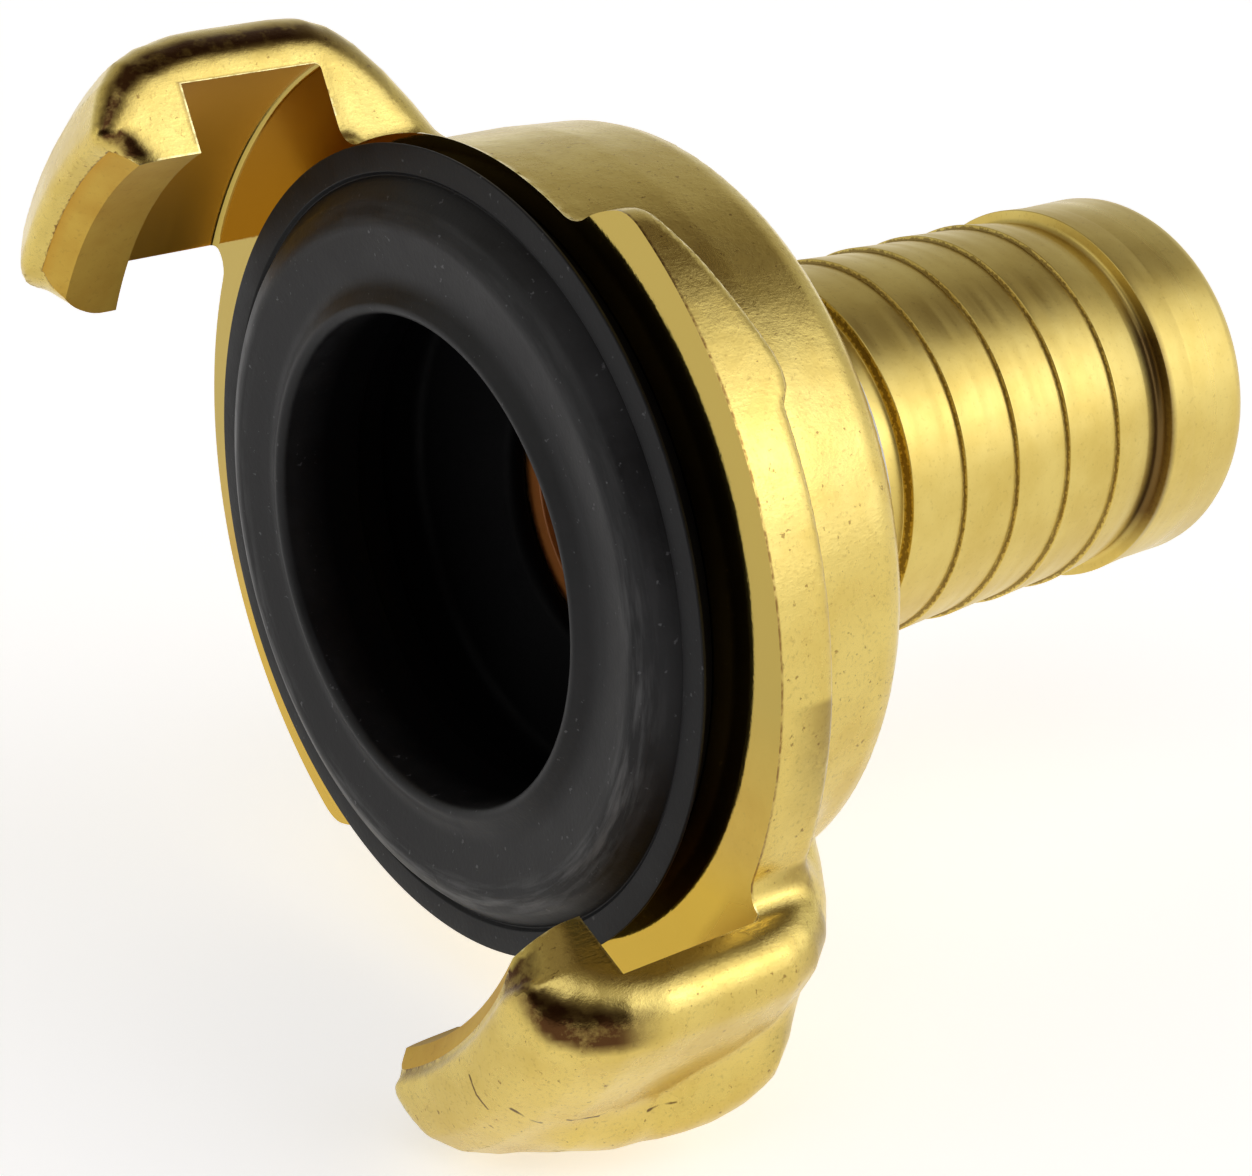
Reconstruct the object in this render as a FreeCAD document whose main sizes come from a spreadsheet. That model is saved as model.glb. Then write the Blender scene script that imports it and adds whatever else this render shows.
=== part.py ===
import FreeCAD, Part
import math
import os
import Sketcher

# Claw-type quick hose coupling, one half, 40 mm claw distance, with a swivelling 19 mm hose tail.
# The coupling axis lies along X: x = 0 is the flange's machined front face, the claws and the seal
# reach towards -X and the hose tail runs towards +X. Lengths are millimetres, angles are degrees and
# a direction around the axis is measured from +Y towards +Z.

PARTS_FOLDER = "parts"
QUARTER_TURN = 90

SIZES = {
    "zero": 0.0,
    # claw profile in the axial plane: distances forward of the flange face, and radii
    "lip_radius": 20.0,
    "lip_back": 7.2,
    "lip_front": 10.1,
    "lip_chamfer_front": 11.0,
    "lip_chamfer_radius": 20.9,
    "nose_front": 11.75,
    "nose_radius": 21.8,
    "nose_round": 0.9,
    "brow_front": 8.4,
    "brow_radius": 25.5,
    "brow_round": 6.0,
    "arm_inner_radius": 23.2,
    "arm_radius": 25.9,
    "arm_front": 6.0,
    "arm_back": 0.7,
    "heel_back": 4.7,
    "heel_radius": 22.8,
    "heel_round": 6.0,
    "claw_root_back": 7.6,
    "claw_root_radius": 17.0,
    # raised rib along the back of the claw
    "rib_front": 7.7,
    "rib_front_radius": 26.3,
    "rib_rise_front": 3.7,
    "rib_radius": 28.2,
    "rib_flat_back": 0.2,
    "rib_back": 3.8,
    "rib_back_radius": 24.4,
    "rib_round": 6.0,
    "rib_root_back": 4.6,
    "rib_root_radius": 19.5,
    "rib_base_radius": 24.0,
    "rib_base_back": 1.0,
    # flat that takes the crown off the rib, as corners seen along the axis
    "crown_near_y": 0.35,
    "crown_near_z": 25.17,
    "crown_far_y": 17.2,
    "crown_far_z": 21.12,
    "crown_outer_y": 18.5,
    "crown_outer_z": 27.0,
    "crown_top_y": 1.0,
    "crown_top_z": 31.0,
    "crown_depth": 24.0,
    "rib_direction": 50.5,
    "rib_span": 19.0,
    # where the claw, the ramp and the notch lie around the axis
    "claw_direction": 43.75,
    "claw_span": 37.5,
    "ramp_lead_direction": 131.0,
    "ramp_lead_span": 32.0,
    "ramp_land_direction": 176.0,
    "ramp_land_span": 59.5,
    # flange ramps, which the partner's lips slide behind
    "flange_radius": 22.0,
    "flange_root_radius": 16.5,
    "ramp_top": 3.5,
    "ramp_land": 2.95,
    "ramp_start": 0.9,
    "ramp_low_side": 6.6,
    "ramp_high_side": 4.5,
    "ramp_cut_back": 6.0,
    "ramp_cut_height": 26.0,
    "ramp_cut_depth": 10.0,
    "notch_foot_y": 7.8,
    "notch_foot_z": 16.5,
    "notch_top_y": 11.6,
    "notch_top_z": 19.0,
    "notch_outer_y": 8.0,
    "notch_outer_z": 24.5,
    "notch_inner_y": 1.5,
    "notch_inner_z": 22.5,
    "notch_depth": 5.0,
    # hub and rear boss of the head
    "hub_radius": 18.45,
    "hub_straight": 5.5,
    "hub_back_radius": 17.95,
    "hub_shoulder": 9.6,
    "hub_round": 1.1,
    "hub_back": 10.7,
    "hub_face_radius": 16.85,
    "boss_radius": 12.8,
    "boss_chamfer_radius": 12.3,
    "boss_chamfer_back": 14.0,
    "boss_back": 14.5,
    # stepped bore of the head
    "mouth_radius": 15.2,
    "groove_front": 1.8,
    "groove_radius": 16.6,
    "groove_back": 4.4,
    "pocket_radius": 15.4,
    "pocket_back": 9.3,
    "recess_radius": 12.0,
    "recess_back": 11.7,
    "bearing_radius": 9.05,
    "bearing_chamfer_back": 14.2,
    "bearing_chamfer_radius": 9.35,
    "bore_start": 1.0,
    "bore_end": 15.5,
    # rubber form seal
    "seal_lip_radius": 18.8,
    "seal_lip_front": 1.35,
    "seal_lip_back": 0.02,
    "seal_lip_foot_radius": 17.75,
    "seal_lip_edge_back": 1.15,
    "seal_rim_inner": 17.5,
    "seal_groove_front": 1.15,
    "seal_groove_radius": 17.3,
    "seal_bead_front": 2.5,
    "seal_bead_outer": 15.9,
    "seal_bead_inner": 14.5,
    "seal_bead_round": 1.1,
    "seal_dish_front": 2.1,
    "seal_dish_radius": 13.2,
    "seal_mouth_front": 2.7,
    "seal_mouth_radius": 11.9,
    "seal_mouth_edge": 2.3,
    "seal_bore_radius": 11.35,
    "seal_waist_radius": 15.15,
    "seal_rib_radius": 16.5,
    "seal_rib_front": 1.9,
    "seal_rib_back": 4.3,
    "seal_body_radius": 15.3,
    "seal_flare_back": 2.2,
    "seal_flare_radius": 12.0,
    "seal_chamber_front": 4.0,
    "seal_chamber_radius": 13.1,
    "seal_chamber_back": 6.4,
    "seal_throat_front": 8.2,
    "seal_throat_radius": 8.1,
    "seal_back": 9.1,
    # hose tail: spigot in the head, collar, neck, barbs, tip barb
    "tail_front": 9.4,
    "spigot_radius": 9.0,
    "clip_groove_front": 9.9,
    "clip_groove_back": 10.95,
    "clip_groove_radius": 8.0,
    "ring_groove_front": 12.3,
    "ring_groove_back": 13.8,
    "ring_groove_radius": 7.7,
    "collar_front": 15.3,
    "collar_radius": 10.7,
    "collar_back": 16.2,
    "neck_radius": 9.0,
    "barb_first": 18.92,
    "barb_foot": 18.77,
    "barb_pitch": 3.475,
    "barb_radius": 9.55,
    "barb_root_radius": 9.35,
    "tip_groove_front": 34.6,
    "tip_groove_radius": 8.85,
    "tip_foot": 36.1,
    "tip_front": 36.3,
    "tip_radius": 9.8,
    "tip_taper_back": 37.6,
    "tip_land_radius": 9.6,
    "tip_land_back": 41.1,
    "tip_end_radius": 8.4,
    "tip_round": 1.25,
    "tip_back": 42.3,
    "bore_radius": 7.0,
    "bore_mouth_radius": 7.4,
    "bore_mouth_front": 41.9,
    # small parts of the swivel
    "washer_inner_radius": 9.3,
    "front_washer_outer_radius": 11.8,
    "front_washer_front": 11.0,
    "front_washer_back": 11.68,
    "rear_washer_outer_radius": 12.2,
    "rear_washer_front": 14.52,
    "rear_washer_back": 15.2,
    "clip_inner_radius": 8.05,
    "clip_outer_radius": 10.9,
    "clip_front": 9.94,
    "clip_back": 10.9,
    "clip_gap_half": 2.5,
    "clip_gap_end": 14.0,
    "clip_gap_depth": 40.0,
    "o_ring_radius": 8.32,
    "o_ring_section": 0.6,
    "o_ring_middle": 13.05,
}

BARB_COUNT = 5
CLAW_COUNT = 2


def fill_sheet(document):
    """Put every driving dimension in the sheet, one row each, with its name as the alias."""
    sheet = document.addObject("Spreadsheet::Sheet", "sizes")
    for row, (name, value) in enumerate(SIZES.items(), start=1):
        sheet.set(f"A{row}", name)
        sheet.set(f"B{row}", str(value))
        sheet.setAlias(f"B{row}", name)
    document.recompute()
    return sheet


def number(size):
    """The value of a size: a name, a name after a minus, or (name, count, step name)."""
    if isinstance(size, tuple):
        first, count, step = size
        return SIZES[first] + count * SIZES[step]
    if size.startswith("-"):
        return -SIZES[size[1:]]
    return SIZES[size]


def formula(size):
    """The sheet expression of the same size."""
    if isinstance(size, tuple):
        first, count, step = size
        return f"sizes.{first} + {count} * sizes.{step}"
    if size.startswith("-"):
        return f"-sizes.{size[1:]}"
    return f"sizes.{size}"


def origin_feature(body, role):
    """The body's own origin plane or axis with this role."""
    for feature in body.Origin.OriginFeatures:
        if feature.Role == role:
            return feature
    raise ValueError(role)


def sketch_on(body, name, plane, turn=None, height=None):
    """A sketch on one of the body's origin planes, turned about X and lifted along its normal."""
    sketch = body.newObject("Sketcher::SketchObject", name)
    sketch.AttachmentSupport = [(origin_feature(body, plane), "")]
    sketch.MapMode = "FlatFace"
    if turn is not None:
        angle = number(turn) - QUARTER_TURN
        direction = math.radians(angle)
        lift = number(height) if height else 0
        place = FreeCAD.Vector(0, -lift * math.sin(direction), lift * math.cos(direction))
        sketch.AttachmentOffset = FreeCAD.Placement(
            place, FreeCAD.Rotation(FreeCAD.Vector(1, 0, 0), angle)
        )
        sketch.setExpression("AttachmentOffset.Rotation.Angle", f"sizes.{turn} - {QUARTER_TURN}")
    return sketch


def arc_between(start, end, radius, side):
    """An arc of a known radius through two points; side +1 bulges to the left of start to end."""
    chord = end - start
    half = chord.Length / 2
    left = FreeCAD.Vector(-chord.y, chord.x, 0).normalize()
    rise = radius - math.sqrt(radius * radius - half * half)
    middle = (start + end) / 2 + left * (side * rise)
    return Part.Arc(start, middle, end)


def pin_vertex(sketch, geometry, vertex, corner):
    """Tie one vertex to the sheet by its distances from the sketch's origin, or to an axis."""
    for kind, axis, size in (("DistanceX", -2, corner[0]), ("DistanceY", -1, corner[1])):
        if size == "zero":
            sketch.addConstraint(Sketcher.Constraint("PointOnObject", geometry, vertex, axis))
            continue
        index = sketch.addConstraint(Sketcher.Constraint(kind, -1, 1, geometry, vertex, number(size)))
        sketch.setExpression(f"Constraints[{index}]", formula(size))


def trace(sketch, corners):
    """Draw a closed outline. A corner is (x, y) or (x, y, radius, side) where an arc follows it."""
    points = [FreeCAD.Vector(number(corner[0]), number(corner[1]), 0) for corner in corners]
    last = len(corners) - 1
    for index, corner in enumerate(corners):
        start = points[index]
        end = points[0] if index == last else points[index + 1]
        if len(corner) == 2:
            sketch.addGeometry(Part.LineSegment(start, end), False)
            continue
        sketch.addGeometry(arc_between(start, end, number(corner[2]), corner[3]), False)
    for index, corner in enumerate(corners):
        following = 0 if index == last else index + 1
        sketch.addConstraint(
            Sketcher.Constraint("Coincident", index, end_vertex(corner), following,
                                start_vertex(corners[following]))
        )
        pin_vertex(sketch, index, start_vertex(corner), corner)
        if len(corner) > 2:
            radius = sketch.addConstraint(Sketcher.Constraint("Radius", index, number(corner[2])))
            sketch.setExpression(f"Constraints[{radius}]", formula(corner[2]))


def start_vertex(corner):
    """Arcs run counter-clockwise, so one that bulges right starts at its second vertex."""
    return 2 if len(corner) > 2 and corner[3] > 0 else 1


def end_vertex(corner):
    """The other end of the segment that follows this corner."""
    return 3 - start_vertex(corner)


def revolve(body, sketch, name, kind="PartDesign::Revolution", span=None):
    """Turn a sketch about the coupling axis: all the way round, or by a span to both sides."""
    feature = body.newObject(kind, name)
    feature.Profile = sketch
    feature.ReferenceAxis = (sketch, ["H_Axis"])
    feature.Angle = 360
    if span:
        feature.Midplane = True
        feature.Angle = number(span)
        feature.setExpression("Angle", formula(span))
    sketch.Visibility = False
    return feature


def pocket(body, sketch, name, depth, both_ways=False):
    """Cut a sketch into the body."""
    feature = body.newObject("PartDesign::Pocket", name)
    feature.Profile = sketch
    feature.Length = number(depth)
    feature.setExpression("Length", formula(depth))
    feature.Midplane = both_ways
    sketch.Visibility = False
    return feature


def turned_body(document, label, corners):
    """A round part: one outline in the XZ plane, turned about X."""
    body = document.addObject("PartDesign::Body", label)
    body.Label = label
    sketch = sketch_on(body, f"{label}_outline", "XZ_Plane")
    trace(sketch, corners)
    revolve(body, sketch, f"{label}_turned")
    return body


def check_cut(document, body, before, name):
    """Stop if a cut took nothing away."""
    document.recompute()
    if body.Shape.Volume > before - 0.5:
        raise RuntimeError(f"{name} cut nothing")


def add_claw(body):
    """One claw: flange root, arm and inward lip, as a slice of a turned C section."""
    sketch = sketch_on(body, "claw_outline", "XZ_Plane", turn="claw_direction")
    trace(sketch, [
        ("claw_root_back", "claw_root_radius"),
        ("heel_back", "heel_radius", "heel_round", -1),
        ("arm_back", "arm_radius"),
        ("-arm_front", "arm_radius"),
        ("-brow_front", "brow_radius", "brow_round", -1),
        ("-nose_front", "nose_radius", "nose_round", -1),
        ("-lip_chamfer_front", "lip_chamfer_radius"),
        ("-lip_front", "lip_radius"),
        ("-lip_back", "lip_radius"),
        ("-lip_back", "arm_inner_radius"),
        ("zero", "arm_inner_radius"),
        ("zero", "claw_root_radius"),
    ])
    return revolve(body, sketch, "claw", span="claw_span")


def add_rib(body):
    """The raised rib along the back of the claw, over its outer and rear faces."""
    sketch = sketch_on(body, "rib_outline", "XZ_Plane", turn="rib_direction")
    trace(sketch, [
        ("rib_root_back", "rib_root_radius"),
        ("rib_back", "rib_back_radius", "rib_round", -1),
        ("rib_flat_back", "rib_radius"),
        ("-rib_rise_front", "rib_radius"),
        ("-rib_front", "rib_front_radius"),
        ("-rib_front", "rib_base_radius"),
        ("rib_base_back", "rib_base_radius"),
        ("rib_base_back", "rib_root_radius"),
    ])
    return revolve(body, sketch, "rib", span="rib_span")


def add_crown_flat(body):
    """Take the crown off the rib with a flat that leans towards the claw's near end."""
    sketch = sketch_on(body, "crown_outline", "YZ_Plane")
    trace(sketch, [
        ("-crown_near_y", "crown_near_z"),
        ("crown_far_y", "crown_far_z"),
        ("crown_outer_y", "crown_outer_z"),
        ("crown_top_y", "crown_top_z"),
    ])
    return pocket(body, sketch, "crown_flat", "crown_depth", both_ways=True)


def add_ramp_sector(body, name, direction, span, thickness):
    """A slice of flange behind which the partner's lip slides."""
    sketch = sketch_on(body, f"{name}_outline", "XZ_Plane", turn=direction)
    trace(sketch, [
        ("zero", "flange_root_radius"),
        (thickness, "flange_root_radius"),
        (thickness, "flange_radius"),
        ("zero", "flange_radius"),
    ])
    return revolve(body, sketch, name, span=span)


def add_ramp_slope(body):
    """Cut the rear of the lead-in sector to a slope, seen along its radius."""
    sketch = sketch_on(body, "ramp_slope_outline", "XY_Plane",
                       turn="ramp_lead_direction", height="ramp_cut_height")
    trace(sketch, [
        ("ramp_start", "ramp_low_side"),
        ("ramp_top", "-ramp_high_side"),
        ("ramp_cut_back", "-ramp_high_side"),
        ("ramp_cut_back", "ramp_low_side"),
    ])
    return pocket(body, sketch, "ramp_slope", "ramp_cut_depth")


def add_notch(body):
    """Slant the start of the flange, where the partner's claw enters."""
    sketch = sketch_on(body, "notch_outline", "YZ_Plane")
    trace(sketch, [
        ("-notch_foot_y", "notch_foot_z"),
        ("-notch_top_y", "notch_top_z"),
        ("-notch_outer_y", "notch_outer_z"),
        ("-notch_inner_y", "notch_inner_z"),
    ])
    return pocket(body, sketch, "notch", "notch_depth", both_ways=True)


def add_hub(body):
    """The round hub and its rear boss."""
    sketch = sketch_on(body, "hub_outline", "XZ_Plane")
    trace(sketch, [
        ("zero", "zero"),
        ("boss_back", "zero"),
        ("boss_back", "boss_chamfer_radius"),
        ("boss_chamfer_back", "boss_radius"),
        ("hub_back", "boss_radius"),
        ("hub_back", "hub_face_radius", "hub_round", -1),
        ("hub_shoulder", "hub_back_radius"),
        ("hub_straight", "hub_radius"),
        ("zero", "hub_radius"),
    ])
    return revolve(body, sketch, "hub")


def add_head_bore(body):
    """The stepped bore: seal mouth and groove, pocket, ring recess and swivel bearing."""
    sketch = sketch_on(body, "bore_outline", "XZ_Plane")
    trace(sketch, [
        ("-bore_start", "zero"),
        ("-bore_start", "mouth_radius"),
        ("groove_front", "mouth_radius"),
        ("groove_front", "groove_radius"),
        ("groove_back", "groove_radius"),
        ("groove_back", "pocket_radius"),
        ("pocket_back", "pocket_radius"),
        ("pocket_back", "recess_radius"),
        ("recess_back", "recess_radius"),
        ("recess_back", "bearing_radius"),
        ("bearing_chamfer_back", "bearing_radius"),
        ("boss_back", "bearing_chamfer_radius"),
        ("bore_end", "bearing_chamfer_radius"),
        ("bore_end", "zero"),
    ])
    return revolve(body, sketch, "bore", kind="PartDesign::Groove")


def make_claw_head(document):
    """The forged head: two claws, two flange ramps, hub and bore in one piece."""
    body = document.addObject("PartDesign::Body", "claw_head")
    body.Label = "claw_head"
    rib = add_rib(body)
    document.recompute()
    before = body.Shape.Volume
    crown = add_crown_flat(body)
    check_cut(document, body, before, "crown flat")
    claw = add_claw(body)
    lead = add_ramp_sector(body, "ramp_lead", "ramp_lead_direction", "ramp_lead_span", "ramp_top")
    document.recompute()
    before = body.Shape.Volume
    slope = add_ramp_slope(body)
    check_cut(document, body, before, "ramp slope")
    before = body.Shape.Volume
    notch = add_notch(body)
    check_cut(document, body, before, "notch")
    land = add_ramp_sector(body, "ramp_land", "ramp_land_direction", "ramp_land_span", "ramp_land")
    document.recompute()
    pair = body.newObject("PartDesign::PolarPattern", "claw_pair")
    pair.Originals = [rib, crown, claw, lead, slope, notch, land]
    pair.Axis = (origin_feature(body, "X_Axis"), [""])
    pair.Angle = 360
    pair.Occurrences = CLAW_COUNT
    body.Tip = pair
    document.recompute()
    add_hub(body)
    document.recompute()
    before = body.Shape.Volume
    add_head_bore(body)
    check_cut(document, body, before, "head bore")
    return body


def make_form_seal(document):
    """The rubber form seal: outer rim, groove, bead, dished lip, waist, rib and bottle-shaped bore."""
    return turned_body(document, "form_seal", [
        ("-seal_lip_back", "seal_waist_radius"),
        ("-seal_lip_back", "seal_lip_foot_radius"),
        ("-seal_lip_edge_back", "seal_lip_radius"),
        ("-seal_lip_front", "seal_lip_radius"),
        ("-seal_lip_front", "seal_rim_inner"),
        ("-seal_groove_front", "seal_groove_radius"),
        ("-seal_bead_front", "seal_bead_outer", "seal_bead_round", 1),
        ("-seal_bead_front", "seal_bead_inner"),
        ("-seal_dish_front", "seal_dish_radius"),
        ("-seal_mouth_front", "seal_mouth_radius"),
        ("-seal_mouth_edge", "seal_bore_radius"),
        ("seal_flare_back", "seal_flare_radius"),
        ("seal_chamber_front", "seal_chamber_radius"),
        ("seal_chamber_back", "seal_chamber_radius"),
        ("seal_throat_front", "seal_throat_radius"),
        ("seal_back", "seal_throat_radius"),
        ("seal_back", "seal_body_radius"),
        ("seal_rib_back", "seal_body_radius"),
        ("seal_rib_back", "seal_rib_radius"),
        ("seal_rib_front", "seal_rib_radius"),
        ("seal_rib_front", "seal_waist_radius"),
    ])


def make_hose_tail(document):
    """The turned tail: grooved spigot, thrust collar, neck, barbs, tip barb and a through bore."""
    corners = [
        ("tail_front", "bore_radius"),
        ("tail_front", "spigot_radius"),
        ("clip_groove_front", "spigot_radius"),
        ("clip_groove_front", "clip_groove_radius"),
        ("clip_groove_back", "clip_groove_radius"),
        ("clip_groove_back", "spigot_radius"),
        ("ring_groove_front", "spigot_radius"),
        ("ring_groove_front", "ring_groove_radius"),
        ("ring_groove_back", "ring_groove_radius"),
        ("ring_groove_back", "spigot_radius"),
        ("collar_front", "spigot_radius"),
        ("collar_front", "collar_radius"),
        ("collar_back", "collar_radius"),
        ("collar_back", "neck_radius"),
        ("barb_foot", "neck_radius"),
    ]
    for barb in range(BARB_COUNT):
        corners.append((("barb_first", barb, "barb_pitch"), "barb_radius"))
        if barb < BARB_COUNT - 1:
            corners.append((("barb_foot", barb + 1, "barb_pitch"), "barb_root_radius"))
    corners += [
        ("tip_groove_front", "barb_root_radius"),
        ("tip_foot", "tip_groove_radius"),
        ("tip_front", "tip_radius"),
        ("tip_taper_back", "tip_land_radius"),
        ("tip_land_back", "tip_land_radius", "tip_round", 1),
        ("tip_back", "tip_end_radius"),
        ("tip_back", "bore_mouth_radius"),
        ("bore_mouth_front", "bore_radius"),
    ]
    return turned_body(document, "hose_tail", corners)


def make_washer(document, label, front, back, outer_radius):
    """A flat thrust washer between a shoulder of the head and the tail."""
    return turned_body(document, label, [
        (front, "washer_inner_radius"),
        (front, outer_radius),
        (back, outer_radius),
        (back, "washer_inner_radius"),
    ])


def make_retaining_ring(document):
    """The open snap ring in the tail's front groove."""
    body = turned_body(document, "retaining_ring", [
        ("clip_front", "clip_inner_radius"),
        ("clip_front", "clip_outer_radius"),
        ("clip_back", "clip_outer_radius"),
        ("clip_back", "clip_inner_radius"),
    ])
    document.recompute()
    before = body.Shape.Volume
    sketch = sketch_on(body, "clip_gap_outline", "YZ_Plane")
    trace(sketch, [
        ("-clip_gap_half", "zero"),
        ("clip_gap_half", "zero"),
        ("clip_gap_half", "-clip_gap_end"),
        ("-clip_gap_half", "-clip_gap_end"),
    ])
    pocket(body, sketch, "clip_gap", "clip_gap_depth", both_ways=True)
    check_cut(document, body, before, "clip gap")
    return body


def make_o_ring(document):
    """The O-ring in the tail's rear groove, a turned circle."""
    body = document.addObject("PartDesign::Body", "o_ring")
    body.Label = "o_ring"
    sketch = sketch_on(body, "o_ring_outline", "XZ_Plane")
    centre = FreeCAD.Vector(number("o_ring_middle"), number("o_ring_radius"), 0)
    circle = Part.Circle(centre, FreeCAD.Vector(0, 0, 1), number("o_ring_section"))
    sketch.addGeometry(circle, False)
    pin_vertex(sketch, 0, 3, ("o_ring_middle", "o_ring_radius"))
    radius = sketch.addConstraint(Sketcher.Constraint("Radius", 0, number("o_ring_section")))
    sketch.setExpression(f"Constraints[{radius}]", formula("o_ring_section"))
    revolve(body, sketch, "o_ring_turned")
    return body


def check_document(document):
    """Stop if any feature failed or any sub-part is empty or not a valid solid."""
    for feature in document.Objects:
        if "Invalid" in feature.State or "Error" in feature.State:
            raise RuntimeError(f"{feature.Name} is {feature.State}")
    for body in document.findObjects("PartDesign::Body"):
        if body.Shape.isNull() or not body.Shape.isValid() or len(body.Shape.Solids) != 1:
            raise RuntimeError(f"{body.Label} is not one valid solid")


def main():
    """Build every sub-part and write one STEP file for each."""
    document = FreeCAD.newDocument("claw_coupling")
    fill_sheet(document)
    bodies = [
        make_claw_head(document),
        make_form_seal(document),
        make_hose_tail(document),
        make_washer(document, "front_thrust_washer", "front_washer_front", "front_washer_back",
                    "front_washer_outer_radius"),
        make_washer(document, "rear_thrust_washer", "rear_washer_front", "rear_washer_back",
                    "rear_washer_outer_radius"),
        make_retaining_ring(document),
        make_o_ring(document),
    ]
    document.recompute()
    check_document(document)
    os.makedirs(PARTS_FOLDER, exist_ok=True)
    for body in bodies:
        body.Shape.exportStep(f"{PARTS_FOLDER}/{body.Label}.step")
        print(body.Label, round(body.Shape.Volume, 1))


main()
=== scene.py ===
import math

import bmesh
import bpy
import numpy as np
from mathutils import Matrix, Vector


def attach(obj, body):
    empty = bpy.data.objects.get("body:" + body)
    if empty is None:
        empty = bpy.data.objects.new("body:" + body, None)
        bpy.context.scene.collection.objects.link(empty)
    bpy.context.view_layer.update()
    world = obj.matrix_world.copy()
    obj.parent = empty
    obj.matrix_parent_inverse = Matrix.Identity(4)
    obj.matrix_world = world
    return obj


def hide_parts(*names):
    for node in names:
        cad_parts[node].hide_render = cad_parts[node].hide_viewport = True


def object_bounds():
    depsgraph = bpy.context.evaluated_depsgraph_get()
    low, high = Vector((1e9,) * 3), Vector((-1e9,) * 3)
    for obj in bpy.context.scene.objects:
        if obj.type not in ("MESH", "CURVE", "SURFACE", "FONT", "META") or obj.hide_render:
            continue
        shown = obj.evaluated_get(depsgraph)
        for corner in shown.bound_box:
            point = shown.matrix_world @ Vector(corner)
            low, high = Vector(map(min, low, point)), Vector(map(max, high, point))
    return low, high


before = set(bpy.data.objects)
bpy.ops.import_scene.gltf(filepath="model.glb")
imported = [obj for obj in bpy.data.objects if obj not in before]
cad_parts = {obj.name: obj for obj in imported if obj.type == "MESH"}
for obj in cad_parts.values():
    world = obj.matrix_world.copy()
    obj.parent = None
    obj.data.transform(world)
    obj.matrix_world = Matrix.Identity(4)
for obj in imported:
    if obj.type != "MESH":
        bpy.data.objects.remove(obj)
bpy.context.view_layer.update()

# Lengths are in millimetres, and MM turns them into the metres of meshes and materials.
# x runs along the axis from the flange face to the hose end, and r is the distance from the axis.
# Angles around the axis are in degrees from +Y towards +Z.
MM = 0.001

# ---------------------------------------------------------------- shape of the forged head

# closed outlines in the axial plane, as (x, r)
CLAW_OUTLINE = [
    (7.7, 17.0), (6.9, 18.9), (5.75, 21.1), (4.7, 22.8), (3.5, 24.3), (2.2, 25.3), (0.7, 25.8),
    (-1.0, 25.95), (-6.0, 25.9), (-8.0, 25.6), (-9.5, 24.9), (-10.6, 23.85), (-11.35, 22.6),
    (-11.75, 21.8), (-11.7, 21.3), (-11.0, 20.9), (-10.5, 19.8), (-10.0, 17.5), (-8.0, 16.0),
    (-1.0, 16.0),
]
RIB_OUTLINE = [
    (4.6, 17.0), (4.0, 20.0), (3.3, 22.8), (3.1, 24.9), (2.6, 26.2), (1.7, 27.2), (0.5, 27.9),
    (-1.0, 28.4), (-3.2, 28.5), (-5.4, 27.9), (-7.6, 26.4), (-8.2, 24.0), (-1.0, 22.5), (-1.0, 17.0),
]
HUB_OUTLINE = [
    (-1.0, 0.0), (-1.0, 19.0), (0.2, 19.0), (0.6, 18.45), (6.0, 18.45), (9.3, 18.25), (10.0, 18.05),
    (10.45, 17.7), (10.65, 17.2), (10.7, 16.8), (10.7, 13.7), (10.9, 13.15), (11.35, 12.85),
    (11.8, 12.8), (14.1, 12.8), (14.5, 12.4), (14.5, 0.0),
]

# one claw: where it ends around the axis, and how round those ends are by x
CLAW_NEAR_END = 62.5
CLAW_FAR_END = 24.8
NEAR_ROUND_X, NEAR_ROUNDS = [-12, -8], [0.7, 2.2]
FAR_ROUND_X, FAR_ROUNDS = [-9, -6], [2.9, 2.2]
# how far the heel draws in towards the claw's near end, by angle
HEEL_ANGLES, HEEL_INSETS = [42.0, 62.0], [0.0, 0.6]

# the raised rib: its flat top, its near end, and the angle of its lower flank by x
RIB_TOP_ANGLE = 77.0
RIB_TOP_HEIGHT = 24.45
RIB_TOP_ROUND = 2.2
RIB_NEAR_END = 61.5
RIB_END_ROUND = 2.3
RIB_FLANK_X = [-9.0, -6.6, -3.7, -2.2, 0.65, 1.6, 6.0, 9.0]
RIB_FLANK_ANGLES = [43.5, 44.5, 44.5, 41.5, 38.5, 37.0, 35.0, 34.0]
# the flank's normal around the axis and outwards, the radius it turns about, and its edge's rounding
RIB_FLANK_AROUND = 0.8
RIB_FLANK_OUTWARD = 0.6
RIB_FLANK_RADIUS = 26.4
RIB_FLANK_ROUND = 1.8

FLANGE_RADIUS = 22.0
# rear face of the flange ramp: angle around the axis, and distance behind the flange face
RAMP_ANGLES = [110, 122, 124, 129.7, 136, 142.8, 145, 146.8, 148.3, 150, 161, 175, 187, 205, 230]
RAMP_BACKS = [1.1, 1.2, 1.37, 2.1, 2.7, 3.4, 3.5, 3.37, 2.95, 2.92, 2.94, 2.98, 3.1, 3.35, 3.5]
RAMP_RIM_ROUND = 0.55
# a ramp starts at a slanted face through this (y, z), below this height
RAMP_START = (-7.86, 16.63)
RAMP_START_NORMAL = (0.543, 0.84)
RAMP_START_HEIGHT = 18.4
RAMP_START_ROUND = 0.9
RAMP_END_ANGLE = 45
RAMP_END_ROUND = 0.45
# raw metal in front of the flange face, which is machined off
FACING_STOCK = 1.0

# fillets between rib and claw, hub and ramp, hub and claw
RIB_FILLET = 0.8
RAMP_FILLET = 0.7
CLAW_FILLET = 1.2
# the claw's distance on the side of the axis that has no claw
NO_CLAW = np.float32(20)

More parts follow.
